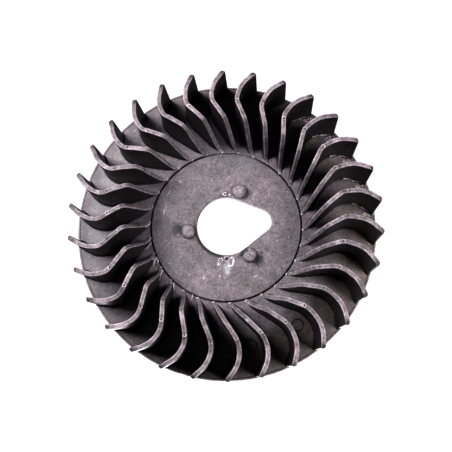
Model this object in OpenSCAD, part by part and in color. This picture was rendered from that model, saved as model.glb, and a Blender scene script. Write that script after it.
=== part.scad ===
// Radial cooling fan of a small air-cooled engine. It sits on the face of the flywheel,
// under the starter pulley, and blows air over the cylinder.
// The spin axis is Z. Z = 0 is the face that bears on the flywheel, +Z is the vane side,
// and the narrow end of the hub hole points along +X.

/* [Hub] */
// Diameter of the flat hub disc
hub_d = 84; // [80:0.5:86]
// Height of the hub disc's front face above the flywheel
hub_z = 8; // [6.5:0.5:11]
// Thickness of the hub disc
hub_t = 3.5; // [2.5:0.5:5]
// Width of the groove round the hub disc
groove_w = 0.7; // [0.4:0.1:1]
// Depth of the groove round the hub disc
groove_depth = 1.2; // [0.6:0.1:1.8]
// Radius of the wide end of the hub hole
hole_r = 16.5; // [14:0.5:17.5]
// Radius of the narrow end of the hub hole
lobe_r = 7; // [5:0.5:8]
// Distance from the spin axis to the centre of the narrow end
lobe_x = 19; // [16:0.5:19.5]

/* [Plate] */
// Outside diameter of the fan
rim_d = 170; // [168:1:176]
// Thickness of the back plate
plate_t = 2.5; // [1.5:0.5:3]
// Radius at which the back plate starts to fall away
dish_inner_r = 62; // [58:1:66]
// Radius at which the back plate is level again
dish_outer_r = 77; // [72:1:80]
// How far the rim lies behind the hub face
dish_depth = 4.7; // [2:0.1:5.4]
// Width of the bead round the rim
bead_w = 1.3; // [1:0.1:2]

/* [Vanes] */
// Number of vanes
vane_count = 30; // [30:30]
// Thickness of a vane
vane_t = 2.4; // [1.8:0.1:3]
// Angle of the first vane's tip from +X
vane_phase = 9.9; // [0:0.1:12]
// Lean of the straight inner stretch away from the radius
vane_lean = 43.7; // [40:0.1:46]
// Length of the straight inner stretch
vane_run = 21.3; // [19:0.1:23]
// Radius of the curved outer stretch, on its centreline
vane_bend_r = 16.3; // [14:0.1:18]
// Angle through which the outer stretch curves back
vane_turn = 71; // [60:1:78]
// Height of a vane's crest above the hub face
crest_h = 30.5; // [26:0.5:34]
// Radius at which the crest begins
crest_inner_r = 52.4; // [50:0.2:55]
// Radius at which the crest ends
crest_outer_r = 61; // [58:0.5:64]
// Height of a vane's level outer edge above the hub face
tip_h = 23.2; // [20:0.2:28]
// Radius at which the level outer edge begins
tip_inner_r = 68; // [66:0.5:72]
// Radius of the tip at the top
tip_r = 83.3; // [80:0.1:84]

/* [Pegs and pins] */
// Radius of a starter pulley peg
peg_r = 4; // [3:0.25:4.5]
// Height of a starter pulley peg
peg_h = 3; // [2:0.5:5]
// Distance from the spin axis to a peg
peg_ring_r = 21.2; // [21:0.1:25]
// Radius of a flywheel pin
pin_r = 3; // [2:0.25:4]
// Length of a flywheel pin
pin_h = 4; // [2:0.5:6]
// Inner radius of the raised seat behind the hub
seat_inner_r = 28; // [27.5:0.5:29]
// Outer radius of the raised seat behind the hub
seat_outer_r = 38; // [37:0.5:40]

/* [Hidden] */
$fn = 96;
peg_count = 3;
peg_phase = 60;                              // angle of the first peg from +X
pin_count = 4;
pin_phase = 45;
pin_ring_r = (seat_inner_r + seat_outer_r) / 2;
peg_dome = 0.7;                              // height of a peg's rounded top
pin_chamfer = 0.6;
flange_w = 0.3;                              // how far a peg's or a pin's flange stands out
flange_h = 1;
edge_chamfer = 0.4;                          // broken edges of the hub and the seat
root_r = hub_d / 2 + groove_w;               // where the back plate and the vanes start
bead_r = rim_d / 2 - bead_w;                 // where the plate ends and the bead starts
rim_z = hub_z - dish_depth;
foot_r = rim_d / 2 - 0.5;                    // outer end of a vane's foot
nose_h = 0.6;                                // height of the low nose at a vane's inner end
nose_r = root_r + 2.4;
tip_round = 1.6;
arc_steps = 12;                              // straight pieces in a vane's curved stretch
hole_steps = 30;                             // straight pieces in half of the hole's wide end
lobe_steps = 10;
pitch = 360 / vane_count;
vane_names = [for (i = [1:vane_count]) str("vane_", i < 10 ? "0" : "", i)];

function polar(r, a) = [r * cos(a), r * sin(a)];

// A corner at p between points a and b, rounded to radius r with n pieces.
function rounded(a, p, b, r, n = 4) =
    let (u = (a - p) / norm(a - p), v = (b - p) / norm(b - p),
         half = acos(u * v) / 2,
         c = p + (u + v) / norm(u + v) * r / sin(half),
         s = p + u * r / tan(half) - c,
         side = cross(u, v) > 0 ? -1 : 1)
    [for (i = [0:n])
        let (t = side * (180 - 2 * half) * i / n)
        c + [s.x * cos(t) - s.y * sin(t), s.x * sin(t) + s.y * cos(t)]];

// Top of the back plate, from its inner edge to radius r.
function plate_top(r) =
    [[root_r, hub_z], [dish_inner_r, hub_z], [dish_outer_r, rim_z], [r, rim_z]];

function reversed(list) = [for (i = [len(list) - 1:-1:0]) list[i]];

// Places its children at each of n spots on a ring.
module around(r, first, n) {
    for (i = [0:n - 1]) rotate([0, 0, first + i * 360 / n]) translate([r, 0, 0]) children();
}

// Teardrop outline of the hub hole: a wide round end, two tangents and a narrow round end.
module hole_outline() {
    slope = asin((hole_r - lobe_r) / lobe_x);
    wide = 90 + slope;                       // half the angle that the wide end spans
    narrow = 90 - slope;
    polygon(concat(
        [for (i = [-hole_steps:hole_steps]) polar(hole_r, 180 + wide * i / hole_steps)],
        [for (i = [-lobe_steps:lobe_steps])
            [lobe_x, 0] + polar(lobe_r, narrow * i / lobe_steps)]
    ));
}

module hub_disc() {
    r = hub_d / 2;
    back = hub_z - hub_t;
    ledge = hub_z - groove_depth;
    color([0.47, 0.43, 0.46])
    difference() {
        rotate_extrude() polygon([
            [0, back], [root_r, back], [root_r, ledge], [r, ledge],
            [r, hub_z - edge_chamfer], [r - edge_chamfer, hub_z], [0, hub_z]
        ]);
        translate([0, 0, back - 1]) linear_extrude(hub_t + 2) hole_outline();
        around(peg_ring_r, peg_phase, peg_count)
            translate([0, 0, hub_z - flange_h]) cylinder(r = peg_r + flange_w, h = 2 * flange_h);
    }
}

module flywheel_seat() {
    top = hub_z - hub_t;
    color([0.36, 0.33, 0.35])
    difference() {
        rotate_extrude() polygon([
            [seat_inner_r, edge_chamfer], [seat_inner_r + edge_chamfer, 0],
            [seat_outer_r - edge_chamfer, 0], [seat_outer_r, edge_chamfer],
            [seat_outer_r, top], [seat_inner_r, top]
        ]);
        around(pin_ring_r, pin_phase, pin_count)
            translate([0, 0, -flange_h]) cylinder(r = pin_r + flange_w, h = 2 * flange_h);
    }
}

// A ring of the back plate between two points on its top surface.
module plate_ring(a, b) {
    color([0.42, 0.38, 0.4])
    rotate_extrude() polygon([a, b, [b.x, b.y - plate_t], [a.x, a.y - plate_t]]);
}

module back_plate() { plate_ring([root_r, hub_z], [dish_inner_r, hub_z]); }
module plate_slope() { plate_ring([dish_inner_r, hub_z], [dish_outer_r, rim_z]); }
module plate_margin() { plate_ring([dish_outer_r, rim_z], [bead_r, rim_z]); }

module rim_bead() {
    r = rim_d / 2;
    low = rim_z - plate_t;
    outer = concat(
        rounded([bead_r, low], [r, low], [r, rim_z], plate_t * 0.35),
        rounded([r, low], [r, rim_z], [bead_r, rim_z], plate_t * 0.3)
    );
    color([0.36, 0.33, 0.35])
    rotate_extrude() polygon(concat([[bead_r, low]], outer, [[bead_r, rim_z]]));
}

// A vane's height at each radius, closed along the top of the plate.
module vane_profile() {
    crest_z = hub_z + crest_h;
    tip_z = hub_z + tip_h;
    nose = [nose_r, hub_z + nose_h * 1.5];
    crest_a = [crest_inner_r, crest_z];
    crest_b = [crest_outer_r, crest_z];
    level = [tip_inner_r, tip_z];
    tip = [tip_r, tip_z];
    foot = [foot_r, rim_z];
    polygon(concat(
        [[root_r, hub_z + nose_h], nose],
        rounded(nose, crest_a, crest_b, 3.2),
        rounded(crest_a, crest_b, level, 5),
        rounded(crest_b, level, tip, 6),
        rounded(level, tip, foot, tip_round),
        reversed(plate_top(foot_r))
    ));
}

// Centreline of a vane seen from above, as [x, y, heading] at each point.
function vane_line() =
    let (a = vane_lean,
         bend = [root_r + vane_run * cos(a), vane_run * sin(a)],
         c = bend + polar(vane_bend_r, a - 90),
         last = a - vane_turn,
         end = c + polar(vane_bend_r, last + 90))
    concat(
        [[root_r - 3 * cos(a), -3 * sin(a), a]],
        [for (i = [0:arc_steps])
            let (h = a - vane_turn * i / arc_steps, p = c + polar(vane_bend_r, h + 90))
            [p.x, p.y, h]],
        [[end.x + 9 * cos(last), end.y + 9 * sin(last), last]]
    );

function vane_side(d) = [for (p = vane_line()) [p.x, p.y] + polar(d, p[2] + 90)];

// Angle of the centreline where it crosses the tip radius.
function tip_angle() =
    let (line = vane_line(), p = line[len(line) - 2], h = p[2],
         q = [p.x, p.y], u = polar(1, h), b = q * u,
         s = sqrt(b * b + tip_r * tip_r - q * q) - b,
         t = q + u * s)
    atan2(t.y, t.x);

module vane(i) {
    color([0.3, 0.27, 0.29])
    rotate([0, 0, vane_phase + i * pitch - tip_angle()])
    intersection() {
        translate([0, 0, -1]) linear_extrude(hub_z + crest_h + 2)
            polygon(concat(vane_side(vane_t / 2), reversed(vane_side(-vane_t / 2))));
        rotate([0, 0, -10]) rotate_extrude(angle = 40) vane_profile();
    }
}

// A peg stands on a flange that is sunk flush into the hub disc.
module pulley_peg(i) {
    color([0.45, 0.41, 0.44])
    rotate([0, 0, peg_phase + i * 360 / peg_count])
    translate([peg_ring_r, 0, hub_z]) {
        translate([0, 0, -flange_h]) cylinder(r = peg_r + flange_w, h = flange_h);
        cylinder(r = peg_r, h = peg_h - peg_dome);
        translate([0, 0, peg_h - peg_dome])
            rotate_extrude() polygon(concat(
                [[0, 0]],
                [for (t = [0:22.5:90]) [peg_r - peg_dome * (1 - cos(t)), peg_dome * sin(t)]],
                [[0, peg_dome]]
            ));
    }
}

// A pin stands on a flange that is sunk flush into the seat.
module flywheel_pin(i) {
    color([0.36, 0.33, 0.35])
    rotate([0, 0, pin_phase + i * 360 / pin_count])
    translate([pin_ring_r, 0, -pin_h]) {
        cylinder(r1 = pin_r - pin_chamfer, r2 = pin_r, h = pin_chamfer);
        translate([0, 0, pin_chamfer]) cylinder(r = pin_r, h = pin_h - pin_chamfer);
        translate([0, 0, pin_h]) cylinder(r = pin_r + flange_w, h = flange_h);
    }
}

hub_disc();
flywheel_seat();
back_plate();
plate_slope();
plate_margin();
rim_bead();
for (i = [0:peg_count - 1])
    pulley_peg(i);
for (i = [0:pin_count - 1])
    flywheel_pin(i);
for (i = [0:vane_count - 1])
    vane(i);
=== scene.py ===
import cmath
import math
import random

import bmesh
import bpy
from mathutils import Matrix, Vector, noise


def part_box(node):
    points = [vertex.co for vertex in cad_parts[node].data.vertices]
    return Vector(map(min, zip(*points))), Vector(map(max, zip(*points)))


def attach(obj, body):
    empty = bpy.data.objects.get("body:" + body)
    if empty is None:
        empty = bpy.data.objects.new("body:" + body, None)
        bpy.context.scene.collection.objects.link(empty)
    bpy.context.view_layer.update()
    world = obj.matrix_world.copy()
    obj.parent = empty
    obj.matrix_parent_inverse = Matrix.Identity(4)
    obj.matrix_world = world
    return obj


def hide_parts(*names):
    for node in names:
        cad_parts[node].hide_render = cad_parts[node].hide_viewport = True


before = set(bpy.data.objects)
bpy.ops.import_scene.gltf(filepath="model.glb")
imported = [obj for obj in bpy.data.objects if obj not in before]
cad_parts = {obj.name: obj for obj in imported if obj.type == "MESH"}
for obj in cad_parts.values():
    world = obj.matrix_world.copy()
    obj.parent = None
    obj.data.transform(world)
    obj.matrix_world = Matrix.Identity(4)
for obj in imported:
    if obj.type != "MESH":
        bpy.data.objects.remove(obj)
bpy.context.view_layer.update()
mm = 0.001                                      # pieces are shaped in millimetres, then scaled by this

# heights and radii that the CAD already settles, in mm
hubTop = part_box("hub_disc")[1].z / mm
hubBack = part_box("hub_disc")[0].z / mm
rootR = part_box("hub_disc")[1].x / mm            # inner edge of the back plate
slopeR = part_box("plate_slope")[1].x / mm        # where the plate is level again
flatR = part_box("back_plate")[1].x / mm          # where the plate starts to fall away
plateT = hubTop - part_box("back_plate")[0].z / mm
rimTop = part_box("rim_bead")[1].z / mm
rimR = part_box("rim_bead")[1].x / mm
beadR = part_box("plate_margin")[1].x / mm        # where the plate ends and the bead starts
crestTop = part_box("vane_01")[1].z / mm
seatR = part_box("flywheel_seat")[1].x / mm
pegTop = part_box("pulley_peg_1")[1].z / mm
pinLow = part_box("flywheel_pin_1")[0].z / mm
print("frame loaded")


# ---- camera, light and floor

cameraSet = dict(
    azimuth=-0.5, elevation=79.465, roll=-8.19,  # degrees
    distance=324.8, aimHeight=hubTop,            # mm
    lens=45.98, sensor=36.0,
)
lightSet = dict(
    distance=700.0,                              # mm
    boxes=[                                      # azimuth, elevation in degrees, side in mm, watts
        ("leftSoftbox", 148.0, 47.0, 340.0, 11.0),
        ("leftFill", 122.0, 12.0, 300.0, 1.8),
        ("rightSoftbox", -24.0, 45.0, 340.0, 5.5),
        ("rightFill", -30.0, 12.0, 300.0, 1.4),
        ("underFill", -100.0, -55.0, 420.0, 7.0),
    ],
    contrast=0.8,                                # gamma of the view
)


def direction(azimuth, elevation):              # unit vector towards a place in the studio
    a, e = math.radians(azimuth), math.radians(elevation)
    return Vector((math.cos(a) * math.cos(e), math.sin(a) * math.cos(e), math.sin(e)))


def link(name, data):
    made = bpy.data.objects.new(name, data)
    bpy.context.scene.collection.objects.link(made)
    return made


def placeCamera():
    c = cameraSet
    camera = link("camera", bpy.data.cameras.new("camera"))
    camera.data.lens, camera.data.sensor_width = c["lens"], c["sensor"]
    camera.data.clip_start, camera.data.clip_end = 0.01, 20
    back = direction(c["azimuth"] - 90, c["elevation"])
    level = back.to_track_quat("Z", "Y").to_matrix()
    turned = level @ Matrix.Rotation(math.radians(c["roll"]), 3, "Z")
    camera.location = (Vector((0, 0, c["aimHeight"])) + back * c["distance"]) * mm
    camera.rotation_euler = turned.to_euler()
    bpy.context.scene.camera = camera


def placeLights():
    s = lightSet
    for name, azimuth, elevation, side, watts in s["boxes"]:
        lamp = link(name, bpy.data.lights.new(name, "AREA"))
        lamp.data.energy, lamp.data.shape, lamp.data.size = watts, "SQUARE", side * mm
        towards = direction(azimuth, elevation)
        lamp.location = towards * s["distance"] * mm
        lamp.rotation_euler = towards.to_track_quat("Z", "Y").to_euler()
        lamp.visible_camera = False
    world = bpy.data.worlds.new("studio")
    bpy.context.scene.world = world
    world.use_nodes = True
    world.node_tree.nodes["Background"].inputs["Strength"].default_value = 0.0
    bpy.context.scene.view_settings.view_transform = "Standard"
    bpy.context.scene.view_settings.gamma = s["contrast"]


# ---- shader maths

class Wire:                                     # a socket that Python's own operators work on
    def __init__(self, paint, socket):
        self.paint, self.socket = paint, socket

    def maths(self, operation, first, second):
        return self.paint.add("ShaderNodeMath", {"operation": operation}, {0: first, 1: second})

    def __add__(self, other): return self.maths("ADD", self, other)
    def __radd__(self, other): return self.maths("ADD", other, self)
    def __sub__(self, other): return self.maths("SUBTRACT", self, other)
    def __rsub__(self, other): return self.maths("SUBTRACT", other, self)
    def __mul__(self, other): return self.maths("MULTIPLY", self, other)
    def __rmul__(self, other): return self.maths("MULTIPLY", other, self)
    def __truediv__(self, other): return self.maths("DIVIDE", self, other)


class Paint:                                    # a material and its node tree
    def __init__(self, name):
        self.material = bpy.data.materials.new(name)
        self.material.use_nodes = True
        self.material.node_tree.nodes.clear()

    def add(self, kind, settings=None, sockets=None, out=0):
        node = self.material.node_tree.nodes.new(kind)
        for key, value in (settings or {}).items():
            if key == "stops":
                self.setStops(node.color_ramp, value)
            else:
                setattr(node, key, value)
        for key, value in (sockets or {}).items():
            if isinstance(value, Wire):
                self.material.node_tree.links.new(value.socket, node.inputs[key])
            else:
                node.inputs[key].default_value = value
        return Wire(self, node.outputs[out]) if node.outputs else None

    def setStops(self, ramp, stops):
        while len(ramp.elements) < len(stops):
            ramp.elements.new(0.5)
        for element, (place, value) in zip(ramp.elements, stops):
            element.position = place
            element.color = (value, value, value, 1) if isinstance(value, float) else value

    def place(self):                            # the point on the object, in metres
        return self.add("ShaderNodeTexCoord", out="Object")

    def cloud(self, size, detail=3.0, rough=0.55, seed=0.0):    # soft noise, its features size mm across
        return self.add("ShaderNodeTexNoise", {"noise_dimensions": "4D"}, {
            "Vector": self.place(), "W": seed, "Scale": 1 / (size * mm), "Detail": detail,
            "Roughness": rough})

    def ramp(self, value, *stops):
        return self.add("ShaderNodeValToRGB", {"stops": list(stops)}, {"Fac": value})

    def mix(self, share, first, second, blend="MIX"):
        return self.add("ShaderNodeMix", {"data_type": "RGBA", "blend_type": blend},
                        {0: share, 6: first, 7: second}, out=2)

    def vector(self, operation, first, second=(0, 0, 0), out="Vector"):
        return self.add("ShaderNodeVectorMath", {"operation": operation}, {0: first, 1: second}, out)

    def facing(self, bearing):                  # 1 on the side at this bearing, -1 on the far side
        a = math.radians(bearing)
        flat = self.vector("NORMALIZE", self.vector("MULTIPLY", self.place(), (1, 1, 0)))
        return self.vector("DOT_PRODUCT", flat, (math.cos(a), math.sin(a), 0), out="Value")

    # 1 inside an uneven oval, fading to 0 at its edge
    def blot(self, x, y, length, width, bearing=0.0, ragged=0.5, seed=0.0, ragSize=1.4, core=0.2, edge=0.5):
        local = self.add("ShaderNodeMapping", {"vector_type": "TEXTURE"}, {
            "Vector": self.place(), "Location": (x * mm, y * mm, 0),
            "Rotation": (0, 0, math.radians(bearing)), "Scale": (length * mm, width * mm, 1)})
        away = self.vector("LENGTH", self.vector("MULTIPLY", local, (1, 1, 0)), out="Value")
        return self.ramp(away + (self.cloud(ragSize, seed=seed) - 0.5) * ragged, (core, 1.0), (edge, 0.0))


def grey(value, tint=(1.0, 0.84, 0.945)):      # a dark plastic's colour, faintly violet
    return (value * tint[0], value * tint[1], value * tint[2], 1)


# ---- plastics

# face shade, worn-or-painted-lit shade, torn shade, roughness, share of brown dust, shine, fine grain
# strength
plasticSet = dict(
    hub=dict(shade=0.148, wornOrLit=0.26, torn=0.5, rough=0.5, dust=0.04, shine=0.5, grain=0.9),
    plate=dict(shade=0.14, wornOrLit=0.26, torn=0.5, rough=0.55, dust=0.75, shine=0.45, grain=1.0),
    # the vanes are painted far darker than the hub and plate of the same plastic: painted shade of the
    # channels
    vane=dict(shade=0.019, wornOrLit=0.36, torn=0.6, rough=0.45, dust=0.0, shine=0.2, grain=0.45),
    rear=dict(shade=0.10, wornOrLit=0.18, torn=0.3, rough=0.55, dust=0.0, shine=0.5, grain=1.0),
    scrap=dict(shade=0.62, wornOrLit=0.7, torn=0.75, rough=0.5, dust=0.0, shine=0.5, grain=0.6),
)
grainSet = dict(                                # mottling in three sizes, in mm, and how strong each is
    fine=dict(size=0.65, detail=1.5, rough=0.6), middle=dict(size=2.6, detail=2.0, rough=0.6),
    broad=dict(size=11.0, detail=3.0, rough=0.6),
    fineTone=2.5, middleTone=1.1, broadTone=1.3,
    roughTone=0.4,                               # how much the roughness varies
    bumpDepth=0.16, bumpStrength=0.6, fineBump=0.6, middleBump=0.4,
    specularIor=1.48,
)
speckSet = dict(gap=3.4, size=0.2, strength=0.8, rare=0.6)      # pale specks, here and there
dustSet = dict(
    colour=(0.15, 0.115, 0.092, 1),
    bearing=-20.0, lean=0.16,                    # it lies thicker on one side
    start=0.42, full=0.72,                       # between these values of the mottling
    high=0.75, faceShare=0.25,                   # and thins out from this share of the hub's height up
)
wearSet = dict(                                 # where on the wear-and-light attribute each look starts and is full; below 0 it is painted shade
    wornOrLit=((0.15, 0.0), (0.75, 1.0)), middleShare=0.45, fineShare=0.6,
    torn=((0.84, 0.0), (0.97, 1.0)), tornShare=0.4,
    # painted shade, near black, where the attribute is below 0
    shaded=((0.2, 0.0), (0.75, 1.0)), shadowTone=0.004,
)


def mouldedPlastic(name, key, seed, marked=False):
    p, s, g, w = Paint(name), plasticSet[key], grainSet, wearSet
    fine = p.cloud(seed=seed, **g["fine"])
    middle = p.cloud(seed=seed + 1, **g["middle"])
    broad = p.cloud(seed=seed + 2, **g["broad"])
    tone = (1 + (fine - 0.5) * (g["fineTone"] * s["grain"])) * (1 + (middle - 0.5) * g["middleTone"])
    tone = tone * (1 + (broad - 0.5) * g["broadTone"])
    wear = p.add("ShaderNodeAttribute", {"attribute_name": "wear"}, out="Fac")
    colour = grey(s["shade"])
    if s["dust"]:
        colour = dusted(p, colour, broad, s["dust"])
    chippedOrLit = wear + (middle - 0.5) * w["middleShare"] + (fine - 0.5) * (w["fineShare"] * s["grain"])
    # worn edges and painted highlights take the paler colour
    colour = p.mix(p.ramp(chippedOrLit, *w["wornOrLit"]), colour, grey(s["wornOrLit"]))
    ripped = wear + (fine - 0.5) * w["tornShare"]
    colour = p.mix(p.ramp(ripped, *w["torn"]), colour, grey(s["torn"]))
    if marked:
        colour = markedFace(p, colour)
    mottling = p.add("ShaderNodeCombineColor", None, {0: tone, 1: tone, 2: tone})
    colour = p.mix(1.0, colour, mottling, "MULTIPLY")
    colour = p.mix(specks(p), colour, grey(s["torn"]))
    # painted shade, near black, where the attribute is below 0
    colour = p.mix(p.ramp(0 - wear, *w["shaded"]), colour, grey(w["shadowTone"]))
    bump = p.add("ShaderNodeBump", None, {
        "Height": fine * g["fineBump"] + middle * g["middleBump"], "Distance": g["bumpDepth"] * mm,
        "Strength": g["bumpStrength"]})
    shine = p.add("ShaderNodeBsdfPrincipled", None, {
        "Base Color": colour, "Roughness": s["rough"] + (middle - 0.5) * g["roughTone"], "Normal": bump,
        "IOR": g["specularIor"], "Specular IOR Level": s["shine"]})
    p.add("ShaderNodeOutputMaterial", None, {"Surface": shine})
    return p.material


def dusted(p, colour, broad, share):            # brown dust on the low parts
    d = dustSet
    height = p.add("ShaderNodeSeparateXYZ", None, {0: p.place()}, out="Z") / (hubTop * mm)
    patches = p.ramp(broad + p.facing(d["bearing"]) * d["lean"], (d["start"], 0.0), (d["full"], share))
    return p.mix(patches * p.ramp(height, (d["high"], 1.0), (1.0, d["faceShare"])), colour, d["colour"])


def specks(p):
    s = speckSet
    cell = {"Vector": p.place(), "Scale": 1 / (s["gap"] * mm)}
    away = p.add("ShaderNodeTexVoronoi", None, cell, out="Distance")
    cellColour = p.add("ShaderNodeTexVoronoi", None, cell, out="Color")
    chance = p.add("ShaderNodeSeparateColor", None, {0: cellColour})
    dot = p.ramp(away, (s["size"] * 0.3, s["strength"]), (s["size"] * 0.6, 0.0))
    return dot * p.ramp(chance, (s["rare"], 0.0), (s["rare"] + 0.05, 1.0))


markSet = dict(
    stainsAndShadows=[                                     # x, y, length, width, bearing, shade, tint, share
        (-27.4, 2.2, 8.0, 10.0, 0, 0.02, (0.95, 1.0, 0.98), 0.9),       # painted shadow beside one peg, in two blots
        (-33.0, 0.5, 14.0, 10.0, 20, 0.08, (0.95, 1.0, 0.98), 0.5),
        (15.1, -21.6, 7.5, 10.5, -35, 0.015, (1.0, 0.9, 0.95), 0.95),   # and painted shadows below the other two
        (14.3, 16.6, 6.0, 8.0, -40, 0.03, (1.0, 0.9, 0.95), 0.6),
        (-1.8, 21.3, 5.5, 4.0, 20, 0.05, (1.0, 0.9, 0.95), 0.5),
        (20.6, -16.2, 5.0, 4.0, -50, 0.05, (1.0, 0.9, 0.95), 0.55),
        (28.5, -2.4, 5.5, 3.0, 10, 0.06, (1.0, 0.9, 0.95), 0.4),
        (14.2, 32.7, 13.0, 7.0, 30, 0.12, (0.86, 0.88, 1.05), 0.5),
        (9.0, -34.0, 16.0, 7.0, 30, 0.15, (1.0, 0.92, 0.84), 0.5),
        (-32.8, 16.5, 9.0, 20.0, 28, 0.24, (0.93, 0.92, 1.0), 0.55),   # pale scuffed patch
        (-2.7, -20.4, 7.5, 5.5, 0, 0.10, (0.86, 0.9, 1.0), 0.8),       # round the large gate scar
        (-2.6, -23.9, 5.0, 8.5, 0, 0.34, (0.9, 0.92, 1.0), 0.8),
        (-2.4, -18.1, 3.4, 2.6, 0, 0.008, (1.0, 1.0, 1.0), 1.0),
        (2.4, 18.0, 7.0, 4.0, 0, 0.03, (1.0, 0.95, 0.95), 0.9),        # round the small one
        (7.0, -16.6, 9.0, 3.4, 28, 0.012, (1.0, 0.9, 0.9), 0.9),
        (-17.4, 2.5, 11.0, 2.0, 85, 0.03, (1.0, 0.9, 0.9), 0.7),
    ],
    scratches=[                                  # x, y, bearing, length
        (-32.1, 16.1, 62, 7.0), (-32.4, 18.4, 55, 4.5), (-29.3, 24.0, 48, 5.0), (32.6, 7.2, 100, 2.6),
        (-22.0, 29.5, 130, 3.5), (12.0, -30.5, 20, 4.0), (-16.5, -27.0, 75, 3.0), (-33.6, 13.2, 80, 6.0),
    ],
    scratchWidth=0.95, scratchShade=0.42, scratchShare=0.85, scratchRagged=0.6,
    edgeShadeR=18.9, edgeShadeBearing=222.0, edgeShadeTone=0.02,  # painted shade along part of the hole's edge
    edgeShadeFade=((0.935, 1.0), (1.0, 0.0)),          # over this share of the radius above
    edgeShadeSpan=((0.68, 0.0), (0.9, 1.0)),           # cosine of the angle from its bearing
    stainSeed=40.0, scratchSeed=60.0,
)


def markedFace(p, colour):                      # stains, painted peg shadows, pale patches, scratches and painted shade on the hub's face
    m = markSet
    for n, (x, y, length, width, bearing, shade, tint, share) in enumerate(m["stainsAndShadows"]):
        spot = p.blot(x, y, length, width, bearing, seed=m["stainSeed"] + n)
        colour = p.mix(spot * share, colour, grey(shade, tint))
    for n, (x, y, bearing, length) in enumerate(m["scratches"]):
        line = p.blot(x, y, length, m["scratchWidth"], bearing, m["scratchRagged"], m["scratchSeed"] + n)
        colour = p.mix(line * m["scratchShare"], colour, grey(m["scratchShade"]))
    # painted shade along part of the hole's edge
    reach = p.vector("LENGTH", p.vector("MULTIPLY", p.place(), (1, 1, 0)), out="Value") / (m["edgeShadeR"] * mm)
    shadedEdge = p.ramp(reach, *m["edgeShadeFade"]) * p.ramp(p.facing(m["edgeShadeBearing"]), *m["edgeShadeSpan"])
    return p.mix(shadedEdge, colour, grey(m["edgeShadeTone"]))


# ---- building helpers

def meshOf(bm, name, inward=False):             # closes the seams, turns the faces one way and goes to metres
    bmesh.ops.remove_doubles(bm, verts=bm.verts, dist=0.002)
    bmesh.ops.recalc_face_normals(bm, faces=bm.faces)
    if inward:
        bmesh.ops.reverse_faces(bm, faces=bm.faces)
    bmesh.ops.scale(bm, vec=(mm, mm, mm), verts=bm.verts)
    mesh = bpy.data.meshes.new(name)
    bm.to_mesh(mesh)
    bm.free()
    mesh.shade_smooth()
    return mesh


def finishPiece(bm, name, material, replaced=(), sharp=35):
    mesh = meshOf(bm, name)
    mesh.set_sharp_from_angle(angle=math.radians(sharp))
    mesh.materials.append(material)
    piece = link(name, mesh)
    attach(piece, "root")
    if replaced:
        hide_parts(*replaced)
    return piece


def profileLoop(corners, segments):             # closed outline of (r, z, rounding) in the XZ plane, as wire
    bm = bmesh.new()
    verts = [bm.verts.new((r, 0, z)) for r, z, _ in corners]
    bm.faces.new(verts)
    for vert, (_, _, rounding) in zip(verts, corners):
        if rounding:
            bmesh.ops.bevel(bm, geom=[vert], offset=rounding, segments=segments, profile=0.5,
                            affect="VERTICES", material=-1)
    bmesh.ops.delete(bm, geom=bm.faces[:], context="FACES_ONLY")
    return bm


def turned(corners, steps, segments=4):         # the outline spun right round the axis
    bm = profileLoop(corners, segments)
    spinRound(bm, steps)
    return bm


def spinRound(bm, steps):
    bmesh.ops.spin(bm, geom=bm.verts[:] + bm.edges[:], cent=(0, 0, 0), axis=(0, 0, 1),
                   angle=math.tau, steps=steps, use_merge=True)


def ring(radius, wall, steps, sides=6):         # a closed ring of round section, lying flat
    bm = bmesh.new()
    loop = bmesh.ops.create_circle(bm, segments=sides, radius=wall)["verts"]
    bmesh.ops.rotate(bm, cent=(0, 0, 0), matrix=Matrix.Rotation(math.pi / 2, 3, "X"), verts=loop)
    bmesh.ops.translate(bm, vec=(radius, 0, 0), verts=loop)
    spinRound(bm, steps)
    return bm


def wornOrShadedMesh():                                 # an empty mesh that parts with their own wear or painted light are added to
    bm = bmesh.new()
    bm.verts.layers.float.new("wear")
    return bm


def addTo(bm, part, matrix, wear=0.0):          # puts a finished shape into a larger mesh
    layer = part.verts.layers.float.new("wear")
    for vert in part.verts:
        vert[layer] = wear
    bmesh.ops.transform(part, matrix=matrix, verts=part.verts)
    mesh = bpy.data.meshes.new("part")
    part.to_mesh(mesh)
    part.free()
    bm.from_mesh(mesh)
    bpy.data.meshes.remove(mesh)


def setWearAndLight(bm, rule):                          # above 0 is worn, torn or painted lighter, below 0 painted shade
    layer = bm.verts.layers.float.new("wear")
    for vert in bm.verts:
        vert[layer] = rule(vert.co.xy.length, vert.co.z, math.degrees(math.atan2(vert.co.y, vert.co.x)))


def smoothStep(x):                              # 0 up to 0, 1 from 1 on, and a soft rise between
    x = min(max(x, 0.0), 1.0)
    return x * x * (3 - 2 * x)


def sector(angle, bearing, reach, fade):        # 1 round a bearing, fading to 0 where reach ends, in degrees
    return smoothStep((reach - abs(angle - bearing)) / fade)


def plateHeight(r):                             # top of the back plate at a radius
    return hubTop + (rimTop - hubTop) * min(max((r - flatR) / (slopeR - flatR), 0.0), 1.0)


# ---- floor

floorSet = dict(reach=9000.0, height=6000.0, cove=2500.0, gap=0.05, white=0.06, glow=0.98)


def layFloor():                                 # pale paper that curves up into a wall all round
    f = floorSet
    low = pinLow - f["gap"]
    high = low + f["height"]
    corners = [(0, low, 0), (f["reach"], low, f["cove"]), (f["reach"], high, f["cove"]), (0, high, 0)]
    mesh = meshOf(turned(corners, 96, 12), "floor", inward=True)
    floor = link("floor", mesh)
    paint = Paint("palePaper")
    shine = paint.add("ShaderNodeBsdfPrincipled", None, {
        "Base Color": (f["white"],) * 3 + (1,), "Roughness": 0.9, "Emission Color": (1, 1, 1, 1),
        "Emission Strength": f["glow"]})
    paint.add("ShaderNodeOutputMaterial", None, {"Surface": shine})
    mesh.materials.append(paint.material)
    floor.visible_diffuse = False               # the paper throws no light back into the vanes
    floor.visible_glossy = False
    floor.visible_shadow = False


# ---- hub disc

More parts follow.
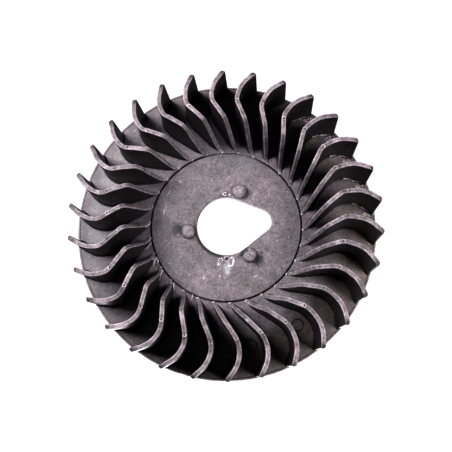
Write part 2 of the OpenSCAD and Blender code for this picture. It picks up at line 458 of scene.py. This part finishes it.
hubSet = dict(
    radius=42.0, ledge=1.2, steps=192,           # disc, and the depth of the groove round it
    wideR=16.5, narrowR=7.0, narrowX=19.0,       # teardrop hole
    edge=0.35, holeEdge=0.7, halfwayR=30.0,      # broken edges outside and inside of halfwayR
    # painted shade in the groove, nearly gone round one bearing
    grooveShadeGap=0.75, gapBearing=76.0, gapReach=32.0, gapFade=20.0,
    holeLight=0.85, holeLitBearing=50.0, holeLitReach=96.0, holeLitFade=60.0,     # the hole's edge is painted lighter on one side, as if lit
    holeShade=0.6, holeShadeBearing=225.0, holeShadeReach=66.0, holeShadeFade=30.0,     # and painted with shade on the other
)


def teardrop(bm, z):                            # a circle, with one side drawn out onto the narrow end
    h = hubSet
    loop = bmesh.ops.create_circle(bm, segments=h["steps"], radius=h["wideR"])["verts"]
    reach = math.acos((h["wideR"] - h["narrowR"]) / h["narrowX"])
    for vert in loop:
        a = math.atan2(vert.co.y, vert.co.x)
        if abs(a) < reach - 1e-4:
            vert.co = Vector((h["narrowX"] + h["narrowR"] * math.cos(a), h["narrowR"] * math.sin(a), 0))
        vert.co.z = z
    return loop


def edgesOf(verts):
    chosen = set(verts)
    return [e for e in {e for v in verts for e in v.link_edges} if set(e.verts) <= chosen]


def drawn(bm, edges, scale=1.0, drop=0.0):      # extrudes a loop, then widens and lowers it
    out = bmesh.ops.extrude_edge_only(bm, edges=edges)["geom"]
    verts = [g for g in out if isinstance(g, bmesh.types.BMVert)]
    bmesh.ops.scale(bm, vec=(scale, scale, 1), verts=verts)
    bmesh.ops.translate(bm, vec=(0, 0, -drop), verts=verts)
    return [g for g in out if isinstance(g, bmesh.types.BMEdge)]


def grooveShade(angle):                          # painted shade in the groove, nearly gone on one side
    h = hubSet
    return 1 - h["grooveShadeGap"] * sector(angle, h["gapBearing"], h["gapReach"], h["gapFade"])


def atFace(vert):                               # on the front or back face, within the groove
    z, r = vert.co.z, vert.co.xy.length
    return min(abs(z - hubTop), abs(z - hubBack)) < 0.01 and r < rootR - 0.1


def makeHub(material):
    h = hubSet
    bm = bmesh.new()
    inner = edgesOf(teardrop(bm, hubTop))
    rim = bmesh.ops.create_circle(bm, segments=h["steps"], radius=h["radius"])["verts"]
    bmesh.ops.translate(bm, vec=(0, 0, hubTop), verts=rim)
    outer = edgesOf(rim)
    bmesh.ops.bridge_loops(bm, edges=inner + outer)
    ledge = drawn(bm, outer, drop=h["ledge"])
    ledge = drawn(bm, ledge, scale=rootR / h["radius"])
    low = drawn(bm, ledge, drop=hubTop - h["ledge"] - hubBack)
    hole = drawn(bm, inner, drop=hubTop - hubBack)
    bmesh.ops.bridge_loops(bm, edges=low + hole)
    crisp = [e for e in bm.edges if e.calc_face_angle(0) > 1.2 and atFace(e.verts[0]) and atFace(e.verts[1])]
    outside = [e for e in crisp if e.verts[0].co.xy.length > h["halfwayR"]]
    inside = [e for e in crisp if e.verts[0].co.xy.length < h["halfwayR"]]
    for edges, width in ((outside, h["edge"]), (inside, h["holeEdge"])):
        bmesh.ops.bevel(bm, geom=edges, offset=width, segments=4, profile=0.5, affect="EDGES", material=-1)

    def wornOrLit(r, z, angle):                      # painted shade in the groove, painted light and shade on the hole's edge
        if r > h["radius"] - 0.15:
            return -grooveShade(angle) if z > hubBack + 0.5 else 0.0
        if r < h["halfwayR"] and z < hubTop - 0.1:
            litSide = sector(angle, h["holeLitBearing"], h["holeLitReach"], h["holeLitFade"])
            shadedEdge = sector(angle % 360, h["holeShadeBearing"], h["holeShadeReach"], h["holeShadeFade"])
            return h["holeLight"] * litSide - h["holeShade"] * shadedEdge
        return 0.0

    setWearAndLight(bm, wornOrLit)
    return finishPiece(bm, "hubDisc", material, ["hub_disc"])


# ---- back plate and rim

plateSet = dict(
    steps=360, bend=3.0, edge=0.25, grooveEdge=0.3,      # roundings of its slope and of its edges
    # the last is painted shade in the crease at the bead
    innerStrip=0.6, outerStrip=0.3, outerCreaseShade=0.8,
)


def makePlate(material):
    p = plateSet
    corners = [
        (rootR, hubTop, p["grooveEdge"]), (rootR + p["innerStrip"], hubTop, 0), (flatR, hubTop, p["bend"]),
        (slopeR, rimTop, p["bend"]), (beadR - p["outerStrip"], rimTop, 0), (beadR, rimTop, p["edge"]),
        (beadR, rimTop - plateT, 0), (slopeR, rimTop - plateT, p["bend"]),
        (flatR, hubTop - plateT, p["bend"]), (rootR, hubTop - plateT, p["edge"]),
    ]
    bm = turned(corners, p["steps"])
    # painted shade in the groove and in the crease at the bead
    setWearAndLight(bm, lambda r, z, angle: (
        -grooveShade(angle) if r < rootR + 0.2
        else -p["outerCreaseShade"] if r > beadR - 0.15 and z > rimTop - 1 else 0.0))
    rings = ["back_plate", "plate_slope", "plate_margin"]
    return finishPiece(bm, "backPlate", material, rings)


rimSet = dict(
    steps=540, innerEdge=0.25, innerStrip=0.35, topEdge=0.4, lowEdge=0.5, play=0.01,
    nicks=((0.8, 0.2), (0.17, 0.15)), nickShift=0.06,    # how often and how deep the parting line is ragged
    # painted shade in the crease at the plate, and wear on the outer edge
    innerCreaseShade=0.8, outerWear=0.45,
)


def makeRim(material):
    s, low, outer = rimSet, rimTop - plateT, rimR - rimSet["play"]
    corners = [
        (beadR, rimTop, s["innerEdge"]), (beadR + s["innerStrip"], rimTop, 0), (outer, rimTop, s["topEdge"]),
        (outer, low, s["lowEdge"]), (beadR, low, 0),
    ]
    bm = turned(corners, s["steps"])
    for vert in bm.verts:
        r = vert.co.xy.length
        if r > beadR + 0.5:
            nick = sum(noise.noise(vert.co * often) * deep for often, deep in s["nicks"]) - s["nickShift"]
            vert.co.xy *= 1 + min(nick, 0.0) / r
    # painted shade in the crease at the plate, and wear on the outer edge
    setWearAndLight(bm, lambda r, z, angle: (
        -s["innerCreaseShade"] if r < beadR + 0.2 else s["outerWear"] if r > rimR - 0.5 else 0.0))
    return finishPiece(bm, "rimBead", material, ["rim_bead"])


# ---- vanes

vaneSet = dict(
    count=30, phase=9.9, lean=43.7, run=21.3, bendR=16.3, turn=71.0,
    halfTop=1.14, halfFoot=1.36,                 # half thickness at the crest and at the plate
    crest=[                                      # radius, height over the hub face, half of the rounding
        (43.0, 0.4, 0.1), (45.3, 0.95, 0.7), (52.4, 30.5, 1.6), (61.0, 30.5, 2.2), (68.0, 23.2, 2.6),
        (83.2, 23.2, 0),
    ],
    footR=84.4, tipRound=2.6, edgeRound=0.58, tipCorner=1.05,
    tipSkew=0.3, skewLength=7.0,                 # the tip is cut partly along the rim
    columns=88, endColumns=6, columnCrowd=1.3,   # columns crowd towards the tip
    land=2, round=4, flank=9, fillet=4,          # rows from the crest down one side
    rowCrowd=1.6,                                # the flank's rows crowd towards the crest
    filletR=0.9, sink=0.5,
    noseThin=0.58, noseLength=9.0, startS=0.25,  # thin inner end, and the gap between it and the groove
    standOut=0.25,                               # how far a vane may stand out of true at its crest
    # the crest's land is worn and lit paler; a painted highlight runs along each rounding, and painted light
    # fades down the flank
    landWearAndLight=0.42, edgeHighlight=0.4, sideLight=0.22, sideFade=0.5,
    hubwardShade=0.15, innerR=51.0, innerSpan=8.0,  # painted shade towards the hub
    tipShade=0.5, tipLength=6.0, tipSpan=5.0,     # and painted shade at the tip
    noseWear=(0.4, 0.95), noseWorn=0.6, noseFade=0.4,
)


def along(s):                                   # the point s along a vane's centreline, and the heading there
    v = vaneSet
    lean, arc = math.radians(v["lean"]), math.radians(v["turn"])
    straight = min(s, v["run"])
    bent = min(max((s - v["run"]) / v["bendR"], 0.0), arc)
    tail = max(s - v["run"] - arc * v["bendR"], 0.0)
    heading = lean - bent
    if s <= v["run"]:
        point = rootR + straight * cmath.exp(1j * lean)
    else:
        centre = rootR + v["run"] * cmath.exp(1j * lean) - 1j * v["bendR"] * cmath.exp(1j * lean)
        point = centre + 1j * v["bendR"] * cmath.exp(1j * heading) + tail * cmath.exp(1j * heading)
    return point, heading


def lengthTo(r):                                # how far along the centreline it reaches a radius
    low, high = 0.0, 80.0
    for _ in range(40):
        middle = (low + high) / 2
        low, high = (middle, high) if abs(along(middle)[0]) < r else (low, middle)
    return low


def tipStation():                               # how far along it the crest ends
    return lengthTo(vaneSet["crest"][-1][0])


def crestLine(r):                               # height and slope of a vane's upper edge at a radius
    points = vaneSet["crest"]
    height, slope, last = hubTop + points[0][1], 0.0, 0.0
    for (r0, z0, soft), (r1, z1, _) in zip(points, points[1:]):
        change = (z1 - z0) / (r1 - r0) - last
        past = min(max(r - r0, -soft), soft)
        height += change * ((past + soft) ** 2 / (4 * soft) + max(r - r0 - soft, 0.0))
        slope += change * (past + soft) / (2 * soft)
        last += change
    return height, slope


def noseShare(s):                               # a vane is thinner at its inner end
    return vaneSet["noseThin"] + (1 - vaneSet["noseThin"]) * smoothStep(s / vaneSet["noseLength"])


def halfWidth(z):                               # half a vane's thickness at a height, with the mould's draft
    share = (z - hubTop) / (crestTop - hubTop)
    return vaneSet["halfFoot"] + (vaneSet["halfTop"] - vaneSet["halfFoot"]) * share


def standOf(index):                             # how far a vane leans out of true at its crest
    return random.Random(100 + index).uniform(-1, 1) * vaneSet["standOut"]


# height, half width and wear-and-light value of one row of points, counted down from the crest
def vaneSection(step, top, foot, roundZ):
    v = vaneSet
    inset, filletZ = v["edgeRound"], min(v["filletR"], (top - foot) * 0.3)
    shoulder, knee = top - roundZ, foot + filletZ
    for part in ("land", "round", "flank", "fillet"):
        if step <= v[part]:
            break
        step -= v[part]
    else:
        return foot - v["sink"], 0.0, 0.0       # closed under the plate's surface
    share = step / v[part]
    turn = share * math.pi / 2
    if part == "land":
        return top, (halfWidth(top) - inset) * share, v["landWearAndLight"]
    if part == "round":
        # painted highlight peaking in the middle of the rounding
        wear = v["landWearAndLight"] + v["edgeHighlight"] * math.sin(turn * 2) - (v["landWearAndLight"] - v["sideLight"]) * share
        return shoulder + roundZ * math.cos(turn), halfWidth(shoulder) - inset + inset * math.sin(turn), wear
    if part == "flank":
        z = shoulder + (knee - shoulder) * share ** v["rowCrowd"]
        return z, halfWidth(z), max(v["sideLight"] - v["sideFade"] * (shoulder - z), 0.0)
    return foot + filletZ * (1 - math.sin(turn)), halfWidth(foot) + filletZ * (1 - math.cos(turn)), 0.0


# distance of a column along the centreline, and how far the vane's end is rounded in there
def vaneStation(column, tipS):
    v = vaneSet
    startS, ends, nose, corner = v["startS"], v["endColumns"], v["edgeRound"], v["tipCorner"]
    near = min(column, v["columns"] - column)
    if near < ends:
        bend = math.pi / 2 * near / ends
        inset = nose if column < ends else corner
        inward = inset * (1 - math.cos(bend))
        s = startS + inward if column < ends else tipS - inward
        return s, inset * (1 - math.sin(bend))
    share = (column - ends) / (v["columns"] - 2 * ends)
    return startS + nose + (1 - (1 - share) ** v["columnCrowd"]) * (tipS - startS - nose - corner), 0.0


def beside(s, y):                               # the place s along a centreline and y to the left of it
    point, heading = along(s)
    return point + y * 1j * cmath.exp(1j * heading)


def vaneTurn(index):                            # turns the centreline to that of vane number index
    v = vaneSet
    tip, _ = along(tipStation())
    return cmath.exp(1j * (math.radians(v["phase"] + (index - 1) * 360 / v["count"]) - cmath.phase(tip)))


def onVane(index, s, y):
    return beside(s, y) * vaneTurn(index)


def vaneWearAndLight(wear, r, s, tipS, noseWear):       # a row's wear and painted light, with painted shade towards the hub and at the tip
    v = vaneSet
    inner = 1 - v["hubwardShade"] + v["hubwardShade"] * smoothStep((r - v["innerR"]) / v["innerSpan"])
    outer = 1 - v["tipShade"] * smoothStep((s - tipS + v["tipLength"]) / v["tipSpan"])
    return wear * inner * outer + noseWear * smoothStep((v["startS"] + v["noseWorn"] - s) / v["noseFade"])


def makeVane(index, material):
    v = vaneSet
    stand, noseWear = standOf(index), random.Random(300 + index).uniform(*v["noseWear"])
    rows = v["land"] + v["round"] + v["flank"] + v["fillet"] + 1
    bm = bmesh.new()
    bmesh.ops.create_grid(bm, x_segments=v["columns"], y_segments=2 * rows, size=0.5)
    layer = bm.verts.layers.float.new("wear")
    tipS, footS, turn = tipStation(), lengthTo(v["footR"]), vaneTurn(index)
    tip, tipHeading = along(tipS)
    skew = math.tan(cmath.phase(tip) - tipHeading) * v["tipSkew"]
    for vert in bm.verts:
        column = round((vert.co.x + 0.5) * v["columns"])
        across = round((vert.co.y + 0.5) * 2 * rows) - rows
        s, cut = vaneStation(column, tipS)
        r = abs(along(s)[0])
        top, slope = crestLine(r)
        overTip = max(s - (tipS - v["tipRound"]), 0.0)
        top -= v["tipRound"] - math.sqrt(max(v["tipRound"] ** 2 - overTip ** 2, 0.0))
        foot = plateHeight(r)
        steep = math.hypot(1, slope * math.cos(math.radians(v["lean"])))
        z, y, wear = vaneSection(abs(across), top, foot, min(v["edgeRound"] * steep, (top - foot) * 0.6))
        y = max(y * noseShare(s) - cut, 0.0) * (0 < column < v["columns"]) * (1 if across > 0 else -1)
        low = 1 - (z - foot) / max(top - foot, 0.1)
        s += (footS - tipS) * low * max((s - v["run"]) / (tipS - v["run"]), 0.0) ** 3
        s -= y * skew * smoothStep((s - tipS + v["skewLength"]) / v["skewLength"])
        y += stand * max((z - hubTop) / (crestTop - hubTop), 0.0) ** 2
        spot = beside(s, y) * turn
        vert.co = (spot.real, spot.imag, z)
        vert[layer] = vaneWearAndLight(wear, r, s, tipS, noseWear)
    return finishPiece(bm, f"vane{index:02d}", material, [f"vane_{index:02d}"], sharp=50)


# ---- pegs and pins

pegSet = dict(
    count=3, phase=60.0, ringR=21.2, radius=4.0, fillet=0.5, steps=64,
    crownR=0.55, crownDrop=0.1, crownEdge=1.2, shoulderDrop=0.7, dome=1.5,      # domed top
    lumps=0.3, lumpsOften=0.7, lumpShift=0.16, lumpHeight=1.8,                  # worn uneven
    # a worn top, and painted shade down the side towards the foot
    topWear=0.3, baseShade=0.32,
)
pinSet = dict(count=4, phase=45.0, radius=3.0, chamfer=0.6, play=0.02, steps=64)
seatSet = dict(innerR=28.0, edge=0.4, steps=192)


def toRing(bm, index, s, ringR):                # moves a peg or a pin out to its place on a circle
    angle = math.radians(s["phase"] + (index - 1) * 360 / s["count"])
    bmesh.ops.translate(bm, vec=(ringR * math.cos(angle), ringR * math.sin(angle), 0), verts=bm.verts)


def makePeg(index, material):
    p = pegSet
    corners = [
        (0, pegTop, 0), (p["radius"] * p["crownR"], pegTop - p["crownDrop"], p["crownEdge"]),
        (p["radius"], pegTop - p["shoulderDrop"], p["dome"]), (p["radius"], hubTop + p["fillet"], 0.2),
        (p["radius"] + p["fillet"], hubTop - 0.05, 0), (0, hubTop - 0.3, 0),
    ]
    bm = turned(corners, p["steps"])
    for vert in bm.verts:
        if vert.co.z > pegTop - p["lumpHeight"]:
            lump = noise.noise(vert.co * p["lumpsOften"] + Vector((9 * index, 0, 0)))
            vert.co.z += lump * p["lumps"] - p["lumpShift"]
    # a worn top, and painted shade down the side towards the foot
    setWearAndLight(bm, lambda r, z, angle: (
        p["topWear"] if z > pegTop - 0.5 else -p["baseShade"] * smoothStep((pegTop - 1.2 - z) / 1.0)))
    toRing(bm, index, p, p["ringR"])
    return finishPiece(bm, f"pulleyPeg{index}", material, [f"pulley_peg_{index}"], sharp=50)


def makePin(index, material):
    p = pinSet
    low = pinLow + p["play"]
    corners = [(0, hubBack, 0), (p["radius"], hubBack, 0), (p["radius"], low, p["chamfer"]), (0, low, 0)]
    bm = turned(corners, p["steps"])
    toRing(bm, index, p, (seatSet["innerR"] + seatR) / 2)
    name, node = f"flywheelPin{index}", f"flywheel_pin_{index}"
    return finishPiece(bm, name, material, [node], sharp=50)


def makeSeat(material):
    inner, edge = seatSet["innerR"], seatSet["edge"]
    corners = [(inner, 0, edge), (seatR, 0, edge), (seatR, hubBack, 0), (inner, hubBack, 0)]
    bm = turned(corners, seatSet["steps"])
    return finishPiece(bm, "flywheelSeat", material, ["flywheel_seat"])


# ---- traces of the moulding

def addCrumb(bm, place, size, seed, flat=0.6):  # a torn crumb of plastic
    part = bmesh.new()
    bmesh.ops.create_icosphere(part, subdivisions=2, radius=size)
    for vert in part.verts:
        vert.co *= 1 + noise.noise(vert.co * (1.5 / size) + Vector((seed, 0, 0))) * 0.8
    shape = Matrix.Rotation(seed, 4, "Z") @ Matrix.Diagonal((1, 0.75, flat, 1))
    addTo(bm, part, Matrix.Translation(place) @ shape)


def addThread(bm, places, thick, taper=0.55):   # a thread of flash, thinner towards its far end
    part = bmesh.new()
    loop = bmesh.ops.create_circle(part, cap_ends=True, segments=6, radius=thick)["verts"]
    towards = (places[-1] - places[0]).to_track_quat("Z", "Y").to_matrix().to_4x4()
    bmesh.ops.transform(part, matrix=Matrix.Translation(places[0]) @ towards, verts=loop)
    edges = part.edges[:]
    for n, (here, there) in enumerate(zip(places, places[1:])):
        out = bmesh.ops.extrude_edge_only(part, edges=edges)["geom"]
        verts = [g for g in out if isinstance(g, bmesh.types.BMVert)]
        edges = [g for g in out if isinstance(g, bmesh.types.BMEdge)]
        bmesh.ops.translate(part, vec=there - here, verts=verts)
        thin = 1 - taper * (n + 1) / len(places) / (1 - taper * n / len(places))
        bmesh.ops.scale(part, vec=(thin, thin, thin), space=Matrix.Translation(-there), verts=verts)
    bmesh.ops.edgeloop_fill(part, edges=edges)
    addTo(bm, part, Matrix.Identity(4))


pipSet = dict(ringR=62.5, spread=2.0, radius=0.8, wall=0.28, wear=(0.6, 0.9), hollowShade=0.6, deep=0.16, steps=20)


def makePips(material):                         # a small ring on every vane's crest, its middle a dark disc of painted shade, as if sunk
    p, chance, bm = pipSet, random.Random(5), wornOrShadedMesh()
    for i in range(1, vaneSet["count"] + 1):
        r = p["ringR"] + chance.uniform(-1, 1) * p["spread"]
        spot = onVane(i, lengthTo(r), standOf(i) * 0.7)
        at = Matrix.Translation((spot.real, spot.imag, crestLine(r)[0]))
        addTo(bm, ring(p["radius"], p["wall"], p["steps"]), at, chance.uniform(*p["wear"]))
        floor = bmesh.new()
        bmesh.ops.create_cone(floor, cap_ends=True, segments=p["steps"], radius1=p["radius"],
                              radius2=p["radius"] * 0.9, depth=p["deep"])
        # the disc inside the ring is painted shade
        addTo(bm, floor, at, -p["hollowShade"])
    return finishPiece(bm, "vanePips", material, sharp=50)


ejectorSet = dict(ringR=67.2, bearings=(-86.9, -63.1), radius=3.2, wall=0.3, lip=0.55, lipWall=0.12, steps=48)


def makeEjectorMarks(material):                 # two circles on the slope of the plate
    e, bm = ejectorSet, wornOrShadedMesh()
    tilt = math.atan2(hubTop - rimTop, slopeR - flatR)
    lying = Matrix.Translation((e["ringR"], 0, plateHeight(e["ringR"]))) @ Matrix.Rotation(tilt, 4, "Y")
    for bearing in e["bearings"]:
        at = Matrix.Rotation(math.radians(bearing), 4, "Z") @ lying
        # a dark ring of painted shade for each mark's step, and beside it a thin pale lip, a painted
        # highlight
        addTo(bm, ring(e["radius"], e["wall"], e["steps"]), at, -1.0)
        addTo(bm, ring(e["radius"] + e["lip"], e["lipWall"], e["steps"]), at, 0.3)
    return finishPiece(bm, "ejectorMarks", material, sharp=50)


whiskerSet = dict(
    lean=36.0, thick=0.33, start=0.2, low=0.6, rise=2.2, wave=0.35, steps=7,
    threads=[                                    # bearing on the groove and length
        (169.5, 10.0), (-176.0, 8.1), (-153.0, 7.7), (-140.1, 5.4), (-124.5, 3.0),
    ],
    tornLoop=[                                   # threads of the torn flash beside the groove, x and y
        ((-47.7, -18.5), (-46.1, -15.9), (-44.4, -13.4), (-42.6, -12.1), (-41.3, -11.7)),
        ((-41.3, -11.7), (-40.7, -12.9), (-40.2, -14.0), (-40.6, -14.8)),
        ((-41.6, -12.4), (-42.6, -14.0), (-43.0, -15.2), (-43.4, -16.4)),
    ],
    loopThick=1.25, crumb=0.32,
)


def makeWhiskers(material):                     # threads of flash that start at the groove
    w, bm = whiskerSet, wornOrShadedMesh()
    for bearing, length in w["threads"]:
        start = (rootR + w["start"]) * cmath.exp(1j * math.radians(bearing))
        heading = cmath.exp(1j * math.radians(bearing + w["lean"]))
        places = []
        for step in range(w["steps"] + 1):
            share = step / w["steps"]
            spot = start + heading * (length * share + w["wave"] * 1j * math.sin(4 * share + bearing))
            places.append(Vector((spot.real, spot.imag, hubTop + w["low"] + w["rise"] * share)))
        addThread(bm, places, w["thick"])
    for line in w["tornLoop"]:
        places = [Vector((x, y, hubTop + 0.5 + 0.25 * math.sin(3.1 * n))) for n, (x, y) in enumerate(line)]
        addThread(bm, places, w["thick"] * w["loopThick"])
        for n, place in enumerate(places[1:]):
            addCrumb(bm, place, w["crumb"], 3.0 * n + place.x)
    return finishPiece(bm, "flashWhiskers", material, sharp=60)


footSet = dict(
    vanes=(1, 2, 3, 4, 30), thick=0.3,
    strands=((12.5, 2.2), (6.8, 1.6)),           # start before the tip, and height over the plate
    steps=9, stride=0.85, wave=1.4, gap=0.3, sway=0.25,
    crumbs=9, crumbR=(80.5, 83.6), crumbAside=(2.2, 4.6), crumbSize=(0.2, 0.6), crumbLimit=84.2,
    rimCrumbs=[(79.2, 30.1), (83.2, 12.2), (83.9, -5.2), (77.4, 33.2)], rimCrumbSize=0.5, lift=0.1,
)


def footThread(i, strand, first, rise):         # a wavy line along the foot of one vane
    f, places = footSet, []
    for step in range(f["steps"]):
        s = tipStation() - first + step * f["stride"]
        wave = noise.noise(Vector((step * 0.45, i * 7.0, strand * 4.0)))
        z = plateHeight(abs(along(s)[0])) + rise + f["wave"] * wave
        sway = noise.noise(Vector((step * 0.5, i * 3.0, 5.0)))
        spot = onVane(i, s, -(halfWidth(z) + f["gap"] + f["sway"] * sway))
        places.append(Vector((spot.real, spot.imag, z)))
    return places


def makeFootFlash(material):                    # flash along the feet of a few vanes, and crumbs at the rim
    f, chance, bm = footSet, random.Random(12), wornOrShadedMesh()
    for i in f["vanes"]:
        for strand, (first, rise) in enumerate(f["strands"]):
            addThread(bm, footThread(i, strand, first, rise), f["thick"])
        for n in range(f["crumbs"]):
            s, aside = lengthTo(chance.uniform(*f["crumbR"])), chance.uniform(*f["crumbAside"])
            spot = onVane(i, s, -aside)
            if abs(spot) < f["crumbLimit"]:
                place = Vector((spot.real, spot.imag, rimTop + f["lift"]))
                addCrumb(bm, place, chance.uniform(*f["crumbSize"]), 2.0 * i + n, 0.5)
    for n, (x, y) in enumerate(f["rimCrumbs"]):
        addCrumb(bm, Vector((x, y, rimTop + f["lift"])), f["rimCrumbSize"], 1.7 * n)
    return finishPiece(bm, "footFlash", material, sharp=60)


scarSet = dict(
    arcs=[                                       # x, y, radius, first and last bearing, crumb size and count
        (-1.3, -19.9, 2.7, 40, -100, 0.52, 18),
        (-2.3, -18.4, 1.35, 10, 350, 0.3, 14),
        (-7.0, -20.5, 0.7, 0, 300, 0.5, 5),
        (-5.8, -18.8, 1.1, 0, 300, 0.42, 6),
        (1.9, 18.3, 0.9, 30, 300, 0.42, 6),
        (4.4, 17.6, 0.5, 0, 300, 0.34, 4),
    ],
    scatter=0.12, crumbSize=(0.65, 1.25), lift=0.05,
)


def makeScars(material):                        # torn plastic where the gates broke off
    s, chance, bm = scarSet, random.Random(8), wornOrShadedMesh()
    for x, y, radius, first, last, size, count in s["arcs"]:
        for n in range(count):
            a = math.radians(first + (last - first) * n / (count - 1))
            far = radius * (1 + chance.uniform(-s["scatter"], s["scatter"]))
            place = Vector((x + far * math.cos(a), y + far * math.sin(a), hubTop + s["lift"]))
            addCrumb(bm, place, size * chance.uniform(*s["crumbSize"]), chance.uniform(0, 50))
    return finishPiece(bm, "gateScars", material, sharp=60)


# ---- the fan

placeCamera()
placeLights()
layFloor()
hubPlastic = mouldedPlastic("hubPlastic", "hub", 1.0, marked=True)
platePlastic = mouldedPlastic("platePlastic", "plate", 11.0)
vanePlastic = mouldedPlastic("vanePlastic", "vane", 21.0)
rearPlastic = mouldedPlastic("rearPlastic", "rear", 31.0)
tornPlastic = mouldedPlastic("tornPlastic", "scrap", 41.0)
print("camera, lights and plastics ready")
makeHub(hubPlastic)
makePlate(platePlastic)
makeRim(platePlastic)
print("hub, plate and rim made")
for i in range(1, vaneSet["count"] + 1):
    makeVane(i, vanePlastic)
print("vanes made")
for i in range(1, pegSet["count"] + 1):
    makePeg(i, hubPlastic)
for i in range(1, pinSet["count"] + 1):
    makePin(i, rearPlastic)
makeSeat(rearPlastic)
print("pegs, pins and seat made")
makePips(vanePlastic)
makeEjectorMarks(platePlastic)
makeWhiskers(tornPlastic)
makeFootFlash(tornPlastic)
makeScars(tornPlastic)
print("traces of the moulding made")
